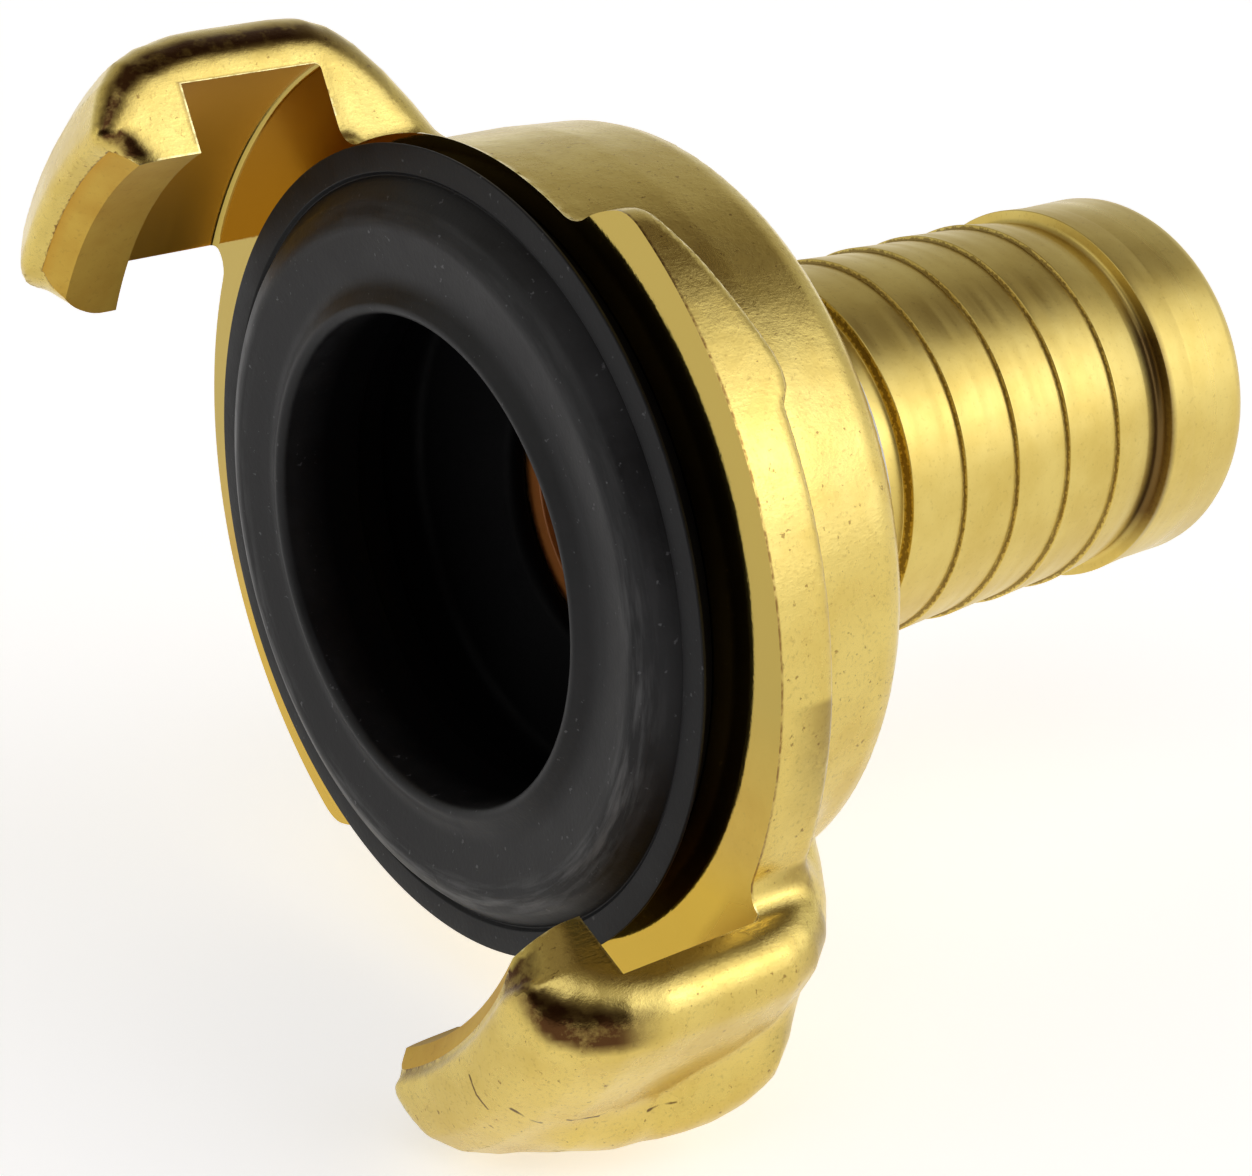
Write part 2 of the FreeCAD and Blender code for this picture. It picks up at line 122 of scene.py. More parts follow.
# everything machined out of the forging: throats and lips, seal seat, bearing bore
MACHINED_OUTLINE = [
    (-20.0, 0.0), (-20.0, 20.6), (-11.5, 20.6), (-11.06, 20.96), (-10.1, 20.0), (-7.2, 20.0),
    (-7.2, 23.2), (-0.3, 23.2), (-0.15, 23.16), (-0.04, 23.05), (0.0, 22.9), (0.0, 15.25),
    (1.8, 15.25), (1.8, 16.65), (4.4, 16.65), (4.4, 15.4), (9.3, 15.4), (9.3, 12.0), (11.7, 12.0),
    (11.7, 9.05), (14.2, 9.05), (14.5, 9.35), (20.0, 9.35), (20.0, 0.0),
]

# the lower claw's nose is worn back: where it starts, over which length, how deep, how curved
WEAR_START = -10.6
WEAR_LENGTH = 1.15
WEAR_DEPTH = 0.5
WEAR_CURVE = 1.5

# ---------------------------------------------------------------- outlines of the turned pieces

# corners as (x, r, rounding)
SEAL_CORNERS = [
    (-0.02, 15.15, 0), (-0.02, 17.75, 0.1), (-0.85, 18.05, 0.3), (-1.15, 18.72, 0.06),
    (-1.37, 18.8, 0.06), (-1.36, 17.5, 0.1), (-1.16, 17.32, 0.06), (-1.42, 17.12, 0.15),
    (-2.15, 16.45, 0.9), (-2.6, 15.5, 1.1), (-2.3, 13.9, 1.5), (-2.1, 12.8, 1.2),
    (-2.75, 11.75, 0.35), (-2.5, 11.35, 0.4), (1.9, 11.6, 0.2), (2.1, 12.0, 0.15), (3.8, 12.3, 0.3),
    (4.1, 13.1, 0.3), (6.4, 13.1, 0.8), (8.2, 7.8, 0.8), (9.1, 7.7, 0.15), (9.1, 15.3, 0.2),
    (4.3, 15.3, 0), (4.3, 16.5, 0.2), (1.9, 16.5, 0.2), (1.9, 15.15, 0),
]
TAIL_FRONT_CORNERS = [
    (9.4, 7.0, 0.1), (9.4, 9.0, 0.15), (9.9, 9.0, 0.05), (9.9, 8.0, 0.05), (10.95, 8.0, 0.05),
    (10.95, 9.0, 0.05), (12.3, 9.0, 0.05), (12.3, 7.7, 0.1), (13.8, 7.7, 0.1), (13.8, 9.0, 0.05),
    (15.3, 9.0, 0.1), (15.3, 10.7, 0.1), (16.2, 10.7, 0.15), (16.2, 9.0, 0.2), (18.8, 9.0, 0.03),
]
TAIL_TIP_CORNERS = [
    (35.2, 9.25, 2.0), (36.25, 9.0, 0.5), (36.36, 9.76, 0.06), (38.2, 9.62, 1.5),
    (42.3, 9.6, 1.05), (42.3, 7.4, 0.15), (41.9, 7.0, 0.1),
]
BARB_COUNT = 5
BARB_FIRST = 18.92
BARB_PITCH = 3.475
BARB_LENGTH = 3.4
BARB_CREST_RADIUS, BARB_CREST_ROUND = 9.57, 0.06
BARB_FOOT_RADIUS, BARB_FOOT_ROUND = 9.35, 0.03

# faces round the axis of each turned surface
MACHINED_SEGMENTS = 256
SEAL_SEGMENTS = 224
TAIL_SEGMENTS = 192
# edges sharper than this many degrees are drawn sharp
HEAD_SHARP = 32
SEAL_SHARP = 40
TAIL_SHARP = 30

# ---------------------------------------------------------------- distance fields


def outline_distance(x, r, corners):
    """Signed distance to a closed outline in the axial plane, negative inside."""
    nearest = np.full(x.shape, 1e6, x.dtype)
    inside = np.zeros(x.shape, bool)
    for (ax, ar), (bx, br) in zip(corners, corners[1:] + corners[:1]):
        ex, er = bx - ax, br - ar
        px, pr = x - ax, r - ar
        t = np.clip((px * ex + pr * er) / (ex * ex + er * er), 0, 1)
        nearest = np.minimum(nearest, (px - t * ex) ** 2 + (pr - t * er) ** 2)
        if er != 0:
            crosses = (ar > r) != (br > r)
            inside ^= crosses & (px < ex * pr / er)
    distance = np.sqrt(nearest)
    return np.where(inside, -distance, distance)


def round_max(a, b, radius):
    """Intersection of two fields with a rounded outer edge."""
    u, v = np.maximum(radius + a, 0), np.maximum(radius + b, 0)
    return np.minimum(-radius, np.maximum(a, b)) + np.hypot(u, v)


def round_min(a, b, radius):
    """Union of two fields with a fillet between them."""
    u, v = np.maximum(radius - a, 0), np.maximum(radius - b, 0)
    return np.maximum(radius, np.minimum(a, b)) - np.hypot(u, v)


def past_angle(y, z, degrees):
    """Distance past the half plane at this angle around the axis, positive at larger angles."""
    a = math.radians(degrees)
    return z * math.cos(a) - y * math.sin(a)


def by_x(x, places, values):
    """Values given at some places along the axis, read in between."""
    return np.interp(x, places, values).astype(x.dtype)


def claw_distance(x, y, z, r):
    """One forged claw with its raised rib; only right on its own side of the axis."""
    angle = np.degrees(np.arctan2(z, y))
    x = x + np.clip(x, 0, 1) * np.interp(angle, HEEL_ANGLES, HEEL_INSETS).astype(x.dtype)
    shell = outline_distance(x, r, CLAW_OUTLINE)
    shell = round_max(shell, past_angle(y, z, CLAW_NEAR_END), by_x(x, NEAR_ROUND_X, NEAR_ROUNDS))
    shell = round_max(shell, -past_angle(y, z, CLAW_FAR_END), by_x(x, FAR_ROUND_X, FAR_ROUNDS))
    rib = outline_distance(x, r, RIB_OUTLINE)
    up = math.radians(RIB_TOP_ANGLE)
    top = y * math.cos(up) + z * math.sin(up)
    rib = round_max(rib, top - RIB_TOP_HEIGHT, RIB_TOP_ROUND)
    rib = round_max(rib, past_angle(y, z, RIB_NEAR_END), RIB_END_ROUND)
    flank = np.radians(np.interp(x, RIB_FLANK_X, RIB_FLANK_ANGLES)).astype(x.dtype)
    around = y * np.sin(flank) - z * np.cos(flank)
    flank_face = RIB_FLANK_AROUND * around + RIB_FLANK_OUTWARD * (r - RIB_FLANK_RADIUS)
    rib = round_max(rib, flank_face, RIB_FLANK_ROUND)
    return round_min(shell, rib, RIB_FILLET)


def ramp_distance(x, y, z, r):
    """The flange ramps on the upper half: the start of one at -Y and the end of the other at +Y."""
    angle = np.degrees(np.arctan2(z, y))
    back = np.interp(np.where(y > 0, angle + 180, angle), RAMP_ANGLES, RAMP_BACKS)
    ring = round_max(r - FLANGE_RADIUS, x - back.astype(x.dtype), RAMP_RIM_ROUND)
    slant = (y - RAMP_START[0]) * RAMP_START_NORMAL[0] + (z - RAMP_START[1]) * RAMP_START_NORMAL[1]
    start = round_max(slant, z - RAMP_START_HEIGHT, RAMP_START_ROUND)
    end = past_angle(y, z, RAMP_END_ANGLE)
    ring = round_max(ring, np.where(y > 0, end, start), RAMP_END_ROUND)
    return np.maximum(ring, -FACING_STOCK - x)


def forging_distance(points):
    """The whole forged head before machining. Its lower half is its upper half turned half way round."""
    turn = np.where(points[:, 2] < 0, -1, 1).astype(points.dtype)
    x, y, z = points[:, 0], points[:, 1] * turn, points[:, 2] * turn
    r = np.hypot(y, z)
    hub = outline_distance(x, r, HUB_OUTLINE)
    claw = np.where(y > 0, claw_distance(x, y, z, r), NO_CLAW)
    body = round_min(hub, ramp_distance(x, y, z, r), RAMP_FILLET)
    return round_min(body, claw, CLAW_FILLET)


# ---------------------------------------------------------------- surface from a distance field

GRID_STEP = 0.3
GRID_LOW = (-13.8, -28.8, 0.0)
GRID_SIZE = (98, 192, 96)
SLOPE_REACH = 0.02
SETTLE_ROUNDS = 3
# the longest step of one round, and the least steepness it is divided by
SETTLE_LIMIT = 0.2
LEAST_STEEPNESS = 0.2


def field_grid():
    """Distances on a grid whose lower half is made from its upper half, and the grid's first point."""
    axes = [low + GRID_STEP * (np.arange(n) + 0.5) for low, n in zip(GRID_LOW, GRID_SIZE)]
    upper = np.empty(GRID_SIZE, np.float32)
    y, z = np.meshgrid(axes[1], axes[2], indexing="ij")
    for i, x in enumerate(axes[0]):
        points = np.stack([np.full(y.size, x), y.ravel(), z.ravel()], 1).astype(np.float32)
        upper[i] = forging_distance(points).reshape(y.shape)
    origin = (GRID_LOW[0] + GRID_STEP / 2, GRID_LOW[1] + GRID_STEP / 2,
              -GRID_SIZE[2] * GRID_STEP + GRID_STEP / 2)
    return np.concatenate([upper[:, ::-1, ::-1], upper], 2), origin


def surface_net(values, origin, step):
    """Vertices and quads of the zero surface of a grid of distances."""
    shape = np.array(values.shape) - 1
    stride = np.array([shape[1] * shape[2], shape[2], 1])
    cells, places, quads = [], [], []
    inside = values < 0
    for axis in range(3):
        low = [slice(None)] * 3
        high = [slice(None)] * 3
        low[axis], high[axis] = slice(None, -1), slice(1, None)
        starts = inside[tuple(low)]
        edges = np.argwhere(starts != inside[tuple(high)])
        far = edges.copy()
        far[:, axis] += 1
        v0, v1 = values[tuple(edges.T)], values[tuple(far.T)]
        place = edges.astype(float)
        place[:, axis] += v0 / (v0 - v1)
        b, c = (axis + 1) % 3, (axis + 2) % 3
        ring = []
        for db, dc in ((1, 1), (0, 1), (0, 0), (1, 0)):
            cell = edges.copy()
            cell[:, b] -= db
            cell[:, c] -= dc
            index = cell @ stride
            ring.append(index)
            cells.append(index)
            places.append(place)
        quad = np.stack(ring, 1)
        flip = ~starts[tuple(edges.T)]
        quad[flip] = quad[flip][:, ::-1]
        quads.append(quad)
    cells, places, quads = np.concatenate(cells), np.concatenate(places), np.concatenate(quads)
    used, number = np.unique(cells, return_inverse=True)
    count = np.bincount(number).astype(float)
    middle = np.stack([np.bincount(number, places[:, k]) / count for k in range(3)], 1)
    return np.array(origin) + step * middle, np.searchsorted(used, quads)


def field_slopes(distance, points):
    """How fast the field grows along each axis."""
    slopes = []
    for axis in range(3):
        step = np.zeros(3)
        step[axis] = SLOPE_REACH
        slopes.append((distance(points + step) - distance(points - step)) / (2 * SLOPE_REACH))
    return np.stack(slopes, 1)


def settle(distance, points):
    """Move points onto the zero surface."""
    for _ in range(SETTLE_ROUNDS):
        slope = field_slopes(distance, points)
        steepness = np.maximum((slope ** 2).sum(1), LEAST_STEEPNESS)
        move = np.clip(distance(points) / steepness, -SETTLE_LIMIT, SETTLE_LIMIT)
        points = points - slope * move[:, None]
    return points


# ---------------------------------------------------------------- mesh helpers

# a corner whose half angle is this close to a right one, in radians, is kept as one point
NEARLY_STRAIGHT = 0.02
# the most that one corner's arc may take of a side
ARC_SHARE = 0.48
ARC_STEPS = 5
# vertices this close are one, in metres
WELD_DISTANCE = 1e-7


def mesh_piece(name, points, faces, materials):
    """A new object from points in millimetres and faces of four corners."""
    mesh = bpy.data.meshes.new(name)
    mesh.from_pydata((np.asarray(points) * MM).tolist(), [], np.asarray(faces).tolist())
    mesh.update()
    for material in materials:
        mesh.materials.append(material)
    piece = bpy.data.objects.new(name, mesh)
    bpy.context.scene.collection.objects.link(piece)
    return piece


def turned_piece(name, outline, segments, materials, slot=0):
    """A closed outline of (x, r) turned all the way round the axis, with one material slot in use."""
    outline = np.asarray(outline, float)
    turns = np.linspace(0, 2 * math.pi, segments, endpoint=False)
    x = np.repeat(outline[None, :, 0], segments, 0)
    y = outline[None, :, 1] * np.cos(turns)[:, None]
    z = outline[None, :, 1] * np.sin(turns)[:, None]
    points = np.stack([x, y, z], 2).reshape(-1, 3)
    n = len(outline)
    faces = []
    for s in range(segments):
        t = (s + 1) % segments
        for k in range(n):
            after = (k + 1) % n
            if outline[k, 1] == 0 and outline[after, 1] == 0:
                continue
            faces.append((s * n + k, t * n + k, t * n + after, s * n + after))
    piece = mesh_piece(name, points, faces, materials)
    piece.data.polygons.foreach_set("material_index", [slot] * len(piece.data.polygons))
    return piece


def clean_mesh(piece, weld=False):
    """Weld vertices that lie in one place, if asked, and turn all faces outwards."""
    work = bmesh.new()
    work.from_mesh(piece.data)
    if weld:
        bmesh.ops.remove_doubles(work, verts=work.verts, dist=WELD_DISTANCE)
    bmesh.ops.recalc_face_normals(work, faces=work.faces)
    work.to_mesh(piece.data)
    work.free()


def smooth_by_angle(piece, degrees):
    """Smooth shading with sharp edges above an angle."""
    mesh = piece.data
    mesh.polygons.foreach_set("use_smooth", [True] * len(mesh.polygons))
    mesh.set_sharp_from_angle(angle=math.radians(degrees))


def round_outline(corners):
    """An outline from (x, r, rounding) corners, each rounded with an arc."""
    made = []
    for i, (x, r, radius) in enumerate(corners):
        here = np.array([x, r], float)
        before = np.array(corners[i - 1][:2], float) - here
        after = np.array(corners[(i + 1) % len(corners)][:2], float) - here
        size_a, size_b = np.linalg.norm(before), np.linalg.norm(after)
        before, after = before / size_a, after / size_b
        half = math.acos(max(-1.0, min(1.0, float(before @ after)))) / 2
        if radius <= 0 or half > math.pi / 2 - NEARLY_STRAIGHT:
            made.append(here)
            continue
        reach = min(radius / math.tan(half), ARC_SHARE * size_a, ARC_SHARE * size_b)
        radius = reach * math.tan(half)
        centre = here + (before + after) / np.linalg.norm(before + after) * (radius / math.sin(half))
        start, end = here + before * reach - centre, here + after * reach - centre
        first = math.atan2(start[1], start[0])
        sweep = (math.atan2(end[1], end[0]) - first + math.pi) % (2 * math.pi) - math.pi
        for k in range(ARC_STEPS + 1):
            a = first + sweep * k / ARC_STEPS
            made.append(centre + radius * np.array([math.cos(a), math.sin(a)]))
    return made


def boolean_cut(piece, cutter):
    """Cut one mesh out of another, remove the cutter, and keep its material slots on the cut faces."""
    cut = piece.modifiers.new("cut", "BOOLEAN")
    cut.operation = "DIFFERENCE"
    cut.solver = "EXACT"
    cut.material_mode = "INDEX"
    cut.object = cutter
    graph = bpy.context.evaluated_depsgraph_get()
    mesh = bpy.data.meshes.new_from_object(piece.evaluated_get(graph))
    piece.modifiers.clear()
    piece.data = mesh
    bpy.data.objects.remove(cutter)


# ---------------------------------------------------------------- node helpers

# sockets of a mix node when it mixes colours
MIX_FIRST, MIX_SECOND, MIX_RESULT = 6, 7, 2


def new_material(name):
    """A node material, its tree and its surface shader."""
    material = bpy.data.materials.new(name)
    material.use_nodes = True
    return material, material.node_tree, material.node_tree.nodes["Principled BSDF"]


def node(tree, kind, **settings):
    """A new node with its settings."""
    made = tree.nodes.new(kind)
    for key, value in settings.items():
        setattr(made, key, value)
    return made


def feed(tree, socket, value):
    """Link an output to an input, or set the input to a plain value."""
    if isinstance(value, bpy.types.NodeSocket):
        tree.links.new(value, socket)
    else:
        socket.default_value = value


def calculate(tree, operation, *values):
    """The result of a maths node on value sockets or numbers."""
    made = node(tree, "ShaderNodeMath", operation=operation)
    for socket, value in zip(made.inputs, values):
        feed(tree, socket, value)
    return made.outputs[0]


def multiply(tree, first, *others):
    """The product of value sockets or numbers."""
    for other in others:
        first = calculate(tree, "MULTIPLY", first, other)
    return first


def add(tree, first, second):
    """The sum of value sockets or numbers."""
    return calculate(tree, "ADD", first, second)


def vector_maths(tree, operation, *values):
    """The outputs of a vector maths node on vector sockets or vectors."""
    made = node(tree, "ShaderNodeVectorMath", operation=operation)
    for socket, value in zip(made.inputs, values):
        feed(tree, socket, value)
    return made.outputs


def combine(tree, x, y, z):
    """A vector from value sockets or numbers."""
    made = node(tree, "ShaderNodeCombineXYZ")
    for socket, value in zip(made.inputs, (x, y, z)):
        feed(tree, socket, value)
    return made.outputs[0]


def scaled_coordinates(tree, scale):
    """Object coordinates stretched by a scale for each axis."""
    where = node(tree, "ShaderNodeTexCoord")
    stretch = node(tree, "ShaderNodeMapping")
    stretch.inputs["Scale"].default_value = scale
    tree.links.new(where.outputs["Object"], stretch.inputs["Vector"])
    return stretch.outputs["Vector"]


def axis_parts(tree):
    """Coordinates of the object in metres, their three parts, and the distance from the axis."""
    place = node(tree, "ShaderNodeTexCoord").outputs["Object"]
    parts = node(tree, "ShaderNodeSeparateXYZ")
    tree.links.new(place, parts.inputs[0])
    x, y, z = parts.outputs
    r = vector_maths(tree, "LENGTH", combine(tree, 0.0, y, z))["Value"]
    return place, x, y, z, r


def attribute(tree, name):
    """A number stored with the mesh's points."""
    return node(tree, "ShaderNodeAttribute", attribute_name=name).outputs["Fac"]


def noise(tree, coordinates, scale, detail, roughness):
    """A noise texture on given coordinates."""
    made = node(tree, "ShaderNodeTexNoise")
    made.inputs["Scale"].default_value = scale
    made.inputs["Detail"].default_value = detail
    made.inputs["Roughness"].default_value = roughness
    tree.links.new(coordinates, made.inputs["Vector"])
    return made.outputs["Fac"]


def ramp(tree, value, stops):
    """A colour ramp from (position, colour) stops; a single number is a grey."""
    made = node(tree, "ShaderNodeValToRGB")
    while len(made.color_ramp.elements) < len(stops):
        made.color_ramp.elements.new(1.0)
    for element, (position, colour) in zip(made.color_ramp.elements, stops):
        element.position = position
        colour = colour if isinstance(colour, tuple) else (colour, colour, colour)
        element.color = (*colour, 1)
    tree.links.new(value, made.inputs["Fac"])
    return made.outputs["Color"]


def span(tree, value, low, high, to_low, to_high, **settings):
    """Map a value from one range to another and hold it at the ends."""
    made = node(tree, "ShaderNodeMapRange", **settings)
    ends = {"From Min": low, "From Max": high, "To Min": to_low, "To Max": to_high}
    for key, number in ends.items():
        made.inputs[key].default_value = number
    tree.links.new(value, made.inputs["Value"])
    return made.outputs["Result"]


def fade(tree, length, start, full, top=1):
    """Zero at one place in millimetres and growing to its top at another."""
    return span(tree, length, start * MM, full * MM, 0, top)


def between(tree, value, low, high, soft):
    """One where a value lies between two limits, with soft edges."""
    return multiply(tree, span(tree, value, low - soft, low, 0, 1),
                    span(tree, value, high + soft, high, 0, 1))


def between_mm(tree, length, low, high, soft):
    """One where a length lies between two limits in millimetres, with soft edges."""
    return between(tree, length, low * MM, high * MM, soft * MM)


def mix_colour(tree, factor, first, second):
    """Mix two colours, each a socket or a colour, by a factor socket."""
    made = node(tree, "ShaderNodeMix", data_type="RGBA")
    tree.links.new(factor, made.inputs["Factor"])
    for key, colour in ((MIX_FIRST, first), (MIX_SECOND, second)):
        feed(tree, made.inputs[key], (*colour, 1) if isinstance(colour, tuple) else colour)
    return made.outputs[MIX_RESULT]


def bump(tree, height, strength, depth, under=None):
    """A bump from a height, with its depth in millimetres, over an earlier bump's normal."""
    made = node(tree, "ShaderNodeBump")
    made.inputs["Strength"].default_value = strength
    made.inputs["Distance"].default_value = depth * MM
    tree.links.new(height, made.inputs["Height"])
    if under:
        tree.links.new(under, made.inputs["Normal"])
    return made.outputs["Normal"]


# ---------------------------------------------------------------- materials

BRASS = (0.70, 0.545, 0.16)
BRASS_DEEP = (0.62, 0.46, 0.115)
BRASS_DARK = (0.22, 0.12, 0.03)
BRASS_AMBER = (0.62, 0.42, 0.08)
BRASS_AMBER_DEEP = (0.55, 0.34, 0.055)
# painted golden tint for the low part of the flange face
BRASS_GOLD = (0.68, 0.44, 0.045)
# pale brass painted as a highlight along cut edges
BRASS_EDGE_HIGHLIGHT = (0.92, 0.80, 0.36)
# dark brown of scratches and heel stains, also used for painted dark reflection and painted shade
BRASS_MARKS_AND_SHADE = (0.085, 0.038, 0.013)
# painted shade in the front of the tail's bore
BRASS_BORE_SHADE = (0.40, 0.135, 0.03)
# painted shade on the flange face beside the seal
BRASS_FACE_SHADE = (0.48, 0.355, 0.085)
# painted shade in the throats
BRASS_THROAT_SHADE = (0.60, 0.335, 0.045)
# painted shade deeper inside the seal
RUBBER_BLACK = (0.0025, 0.0025, 0.003)
RUBBER_DARK = (0.006, 0.006, 0.0068)
RUBBER_GREY = (0.013, 0.013, 0.0142)
# rubbed rubber, also a painted sheen on the bead's lower side
RUBBER_RUBBED_SHEEN = (0.10, 0.10, 0.103)
RUBBER_SPECK = (0.075, 0.075, 0.08)

# handling marks on the lower claw: two ends and a half width
SCRATCHES = [
    ((-11.2, -15.9, -15.4), (-11.0, -16.1, -16.3), 0.08),
    ((-11.0, -16.1, -16.3), (-10.7, -16.5, -16.9), 0.08),
    ((-10.3, -17.6, -16.5), (-9.1, -18.05, -17.4), 0.1),
    ((-8.3, -18.75, -17.25), (-6.9, -19.0, -17.45), 0.08),
    ((-4.2, -18.9, -18.3), (-3.0, -19.3, -18.15), 0.1),
]
# how much a mark's edge wanders, and where it is darkest, as shares of its half width
SCRATCH_WANDER = 0.3
SCRATCH_CORE = 0.4

# painted shade in the corner in front of a barb, by the share of the barb's pitch, and the x where the
# barbs start and end
CREASE_SHADE_SHARES, CREASE_SHADE_SOFT = (0.976, 0.988), 0.006
BARBS_START, BARBS_END = 18.4, 33.5
# painted shade in the groove before the tip, by x and by z
GROOVE_SHADE_X, GROOVE_SHADE_X_SOFT = (35.8, 36.3), 0.5
GROOVE_SHADE_Z, GROOVE_SHADE_Z_SOFT = (-4, 5), 3


def forged_brass():
    """Satin forged brass: grain, small pits, scratches, a painted dark reflection on the end roundings
    with stains at the lower claw's heel, and painted highlights along cut edges.
    """
    material, tree, shader = new_material("forged_brass")
    shader.inputs["Metallic"].default_value = 1.0
    plain = scaled_coordinates(tree, (1, 1, 1))
    cloud = noise(tree, plain, scale=260, detail=5, roughness=0.6)
    grain = noise(tree, plain, scale=5200, detail=3, roughness=0.65)
    mottle = noise(tree, plain, scale=1100, detail=4, roughness=0.65)
    waves = noise(tree, plain, scale=420, detail=2, roughness=0.5)
    pits = noise(tree, scaled_coordinates(tree, (1, 1.6, 0.8)), scale=2600, detail=3, roughness=0.6)
    brushed = noise(tree, scaled_coordinates(tree, (1, 12, 3)), scale=900, detail=2, roughness=0.6)
    pit_mask = ramp(tree, pits, [(0.66, 0.0), (0.71, 1.0)])
    scratches = scratch_marks(tree)

    colour = mix_colour(tree, span(tree, cloud, 0.36, 0.66, 0, 1), BRASS, BRASS_DEEP)
    colour = mix_colour(tree, span(tree, grain, 0.55, 0.75, 0, 0.35), colour, BRASS_DARK)
    colour = mix_colour(tree, multiply(tree, pit_mask, 0.7), colour, BRASS_DARK)
    # painted dark reflection on the claws' end roundings, and stains at the lower claw's heel
    stain_and_dark_reflection = multiply(tree, attribute(tree, "stain_and_dark_reflection"), span(tree, mottle, 0.34, 0.5, 0.7, 1))
    colour = mix_colour(tree, stain_and_dark_reflection, colour, BRASS_MARKS_AND_SHADE)
    colour = mix_colour(tree, scratches, colour, BRASS_MARKS_AND_SHADE)
    edge = attribute(tree, "cut_edge")
    speckle = span(tree, pits, 0.40, 0.58, 0.35, 1)
    dark_edge = multiply(tree, span(tree, edge, 0.45, 0.75, 0, 0.95), speckle)
    colour = mix_colour(tree, dark_edge, colour, BRASS_DARK)
    # painted highlight: a bright line along the cut edges
    painted_edge_highlight = multiply(tree, span(tree, edge, -0.62, -0.82, 0, 0.9), speckle)
    colour = mix_colour(tree, painted_edge_highlight, colour, BRASS_EDGE_HIGHLIGHT)
    tree.links.new(colour, shader.inputs["Base Color"])
    tree.links.new(span(tree, cloud, 0.3, 0.7, 0.22, 0.31), shader.inputs["Roughness"])

    normal = bump(tree, waves, strength=0.22, depth=0.2)
    normal = bump(tree, grain, strength=0.5, depth=0.02, under=normal)
    normal = bump(tree, mottle, strength=0.2, depth=0.06, under=normal)
    normal = bump(tree, brushed, strength=0.2, depth=0.02, under=normal)
    normal = bump(tree, pit_mask, strength=-0.5, depth=0.05, under=normal)
    normal = bump(tree, scratches, strength=-0.8, depth=0.1, under=normal)
    tree.links.new(normal, shader.inputs["Normal"])
    return material


def scratch_marks(tree):
    """A few handling marks on the lower claw, each a thin dark line between two points."""
    place = node(tree, "ShaderNodeTexCoord").outputs["Object"]
    wander = noise(tree, place, scale=1500, detail=2, roughness=0.5)
    total = 0.0
    for start, end, half_width in SCRATCHES:
        start, end, half_width = Vector(start) * MM, Vector(end) * MM, half_width * MM
        line = end - start
        reach = vector_maths(tree, "SUBTRACT", place, start)["Vector"]
        share = vector_maths(tree, "DOT_PRODUCT", reach, line / line.length_squared)["Value"]
        held = node(tree, "ShaderNodeClamp")
        tree.links.new(share, held.inputs["Value"])
        on_line = node(tree, "ShaderNodeVectorMath", operation="SCALE")
        on_line.inputs[0].default_value = line
        tree.links.new(held.outputs[0], on_line.inputs["Scale"])
        away = vector_maths(tree, "DISTANCE", reach, on_line.outputs[0])["Value"]
        shift = SCRATCH_WANDER * half_width
        away = add(tree, away, span(tree, wander, 0.35, 0.65, -shift, shift))
        mark = span(tree, away, half_width, SCRATCH_CORE * half_width, 0, 0.9)
        total = calculate(tree, "MAXIMUM", total, mark)
    return total


def machined_brass(name, light, deep, roughness, ring_strength):
    """Machined brass with fine marks round the axis: its material, tree, shader, colour, roughness."""
    material, tree, shader = new_material(name)
    shader.inputs["Metallic"].default_value = 1.0
    place, x, _, _, r = axis_parts(tree)
    rings = combine(tree, x, r, 0.0)
    marks = noise(tree, rings, scale=9000, detail=2, roughness=0.6)
    broad = noise(tree, rings, scale=1100, detail=2, roughness=0.5)
    cloud = noise(tree, place, scale=300, detail=5, roughness=0.6)
    grain = noise(tree, place, scale=4200, detail=3, roughness=0.65)
    colour = mix_colour(tree, span(tree, cloud, 0.36, 0.66, 0, 1), light, deep)
    colour = mix_colour(tree, span(tree, grain, 0.58, 0.78, 0, 0.3), colour, BRASS_DARK)
    rough = span(tree, broad, 0.3, 0.7, roughness * 0.8, roughness * 1.3)
    normal = bump(tree, marks, strength=ring_strength, depth=0.01)
    normal = bump(tree, cloud, strength=0.1, depth=0.1, under=normal)
    normal = bump(tree, grain, strength=0.2, depth=0.01, under=normal)
    tree.links.new(normal, shader.inputs["Normal"])
    return material, tree, shader, colour, rough


def faced_brass():
    """The head's machined faces: polished, with painted shade beside the seal, a painted golden tint low
    down and painted shade in the throats.
    """
    material, tree, shader, colour, rough = machined_brass(
        "faced_brass", BRASS_AMBER, BRASS_AMBER_DEEP, roughness=0.06, ring_strength=0.05)
    _, x, _, z, r = axis_parts(tree)
    face = between_mm(tree, x, -0.2, 0.2, 0.1)
    # painted shade: the flange face is duller beside the seal, most on its upper half
    upper_half = span(tree, z, -6 * MM, 0, 0.25, 1)
    dull = multiply(tree, face, upper_half, fade(tree, r, 18.6, 19.4))
    colour = mix_colour(tree, dull, colour, BRASS_FACE_SHADE)
    # painted golden tint low down on the flange face, for how the light falls there
    painted_low_gold = multiply(tree, face, fade(tree, z, -7, -10, top=0.8))
    colour = mix_colour(tree, painted_low_gold, colour, BRASS_GOLD)
    # painted shade: a deeper amber in the throats, for light bounced between the brass walls
    throat_shade = multiply(tree, fade(tree, x, -0.2, -0.3), fade(tree, r, 20.6, 21.2))
    colour = mix_colour(tree, throat_shade, colour, BRASS_THROAT_SHADE)
    tree.links.new(colour, shader.inputs["Base Color"])
    # rougher on the golden rim, on the lips and in the throats
    rough = add(tree, rough, multiply(tree, painted_low_gold, fade(tree, r, 20.7, 21.4, top=0.3)))
    rough = add(tree, rough, fade(tree, x, -6.6, -7.4, top=0.30))
    rough = add(tree, rough, fade(tree, x, -0.1, -0.4, top=0.26))
    tree.links.new(rough, shader.inputs["Roughness"])
    return material


